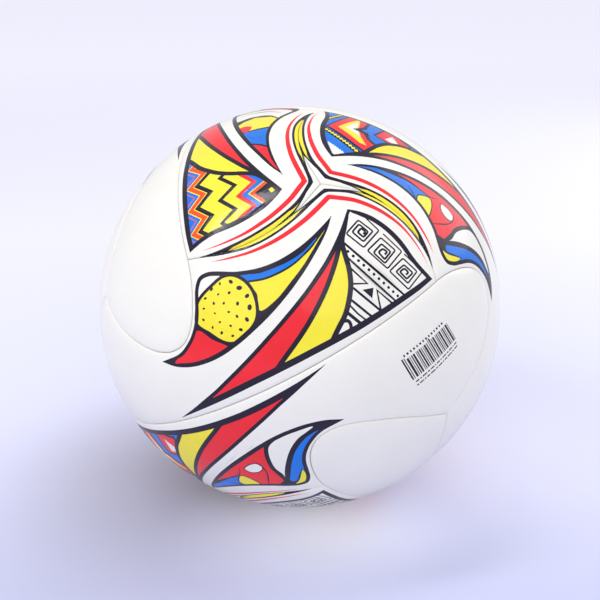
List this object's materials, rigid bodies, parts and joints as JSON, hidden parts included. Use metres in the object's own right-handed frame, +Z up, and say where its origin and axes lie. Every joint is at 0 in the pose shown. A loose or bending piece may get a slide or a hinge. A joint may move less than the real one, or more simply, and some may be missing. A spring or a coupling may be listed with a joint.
{
  "type": "soccer ball",
  "caption": "Size 5 football of stitched, curved, foam-backed panels with printed three-armed bands, over an inflatable rubber bladder with a self-sealing valve.",
  "frame": {"origin": "the ball's centre", "axes": "+Z up with the ball resting on its lowest point; the side with the main printed three-armed band faces -Y"},
  "size_m": [0.22, 0.22, 0.22],
  "materials": {
    "printed_cover": "soft gloss polyurethane skin with a fine grain; printed white, yellow, red, blue and navy",
    "foam": "closed-cell foam sheet",
    "lining": "woven polyester and cotton cloth",
    "thread": "waxed polyester thread",
    "bladder_rubber": "smooth butyl rubber",
    "valve_rubber": "moulded rubber",
    "plug_rubber": "moulded rubber"
  },
  "bodies": {
    "ball": {"cover_panel_01": "printed_cover", "cover_panel_02": "printed_cover", "cover_panel_03": "printed_cover", "cover_panel_04": "printed_cover", "cover_panel_05": "printed_cover", "cover_panel_06": "printed_cover", "cover_panel_07": "printed_cover", "cover_panel_08": "printed_cover", "cover_panel_09": "printed_cover", "cover_panel_10": "printed_cover", "cover_panel_11": "printed_cover", "cover_panel_12": "printed_cover", "foam_backing_01": "foam", "foam_backing_02": "foam", "foam_backing_03": "foam", "foam_backing_04": "foam", "foam_backing_05": "foam", "foam_backing_06": "foam", "foam_backing_07": "foam", "foam_backing_08": "foam", "foam_backing_09": "foam", "foam_backing_10": "foam", "foam_backing_11": "foam", "foam_backing_12": "foam", "lining_cloth_01": "lining", "lining_cloth_02": "lining", "lining_cloth_03": "lining", "lining_cloth_04": "lining", "lining_cloth_05": "lining", "lining_cloth_06": "lining", "lining_cloth_07": "lining", "lining_cloth_08": "lining", "lining_cloth_09": "lining", "lining_cloth_10": "lining", "lining_cloth_11": "lining", "lining_cloth_12": "lining", "arm_seam_thread": "thread", "hook_seam_thread": "thread", "side_seam_thread": "thread", "bladder": "bladder_rubber", "valve_housing": "valve_rubber", "valve_patch": "lining", "balance_patch": "bladder_rubber"},
    "plug": {"valve_plug": "plug_rubber"}
  },
  "joints": [
    {"name": "valve_plug_pull", "type": "slide", "parent": "ball", "child": "plug", "axis": [0.0041, 0.6394, 0.7689], "range_m": [0, 0.02]}
  ]
}
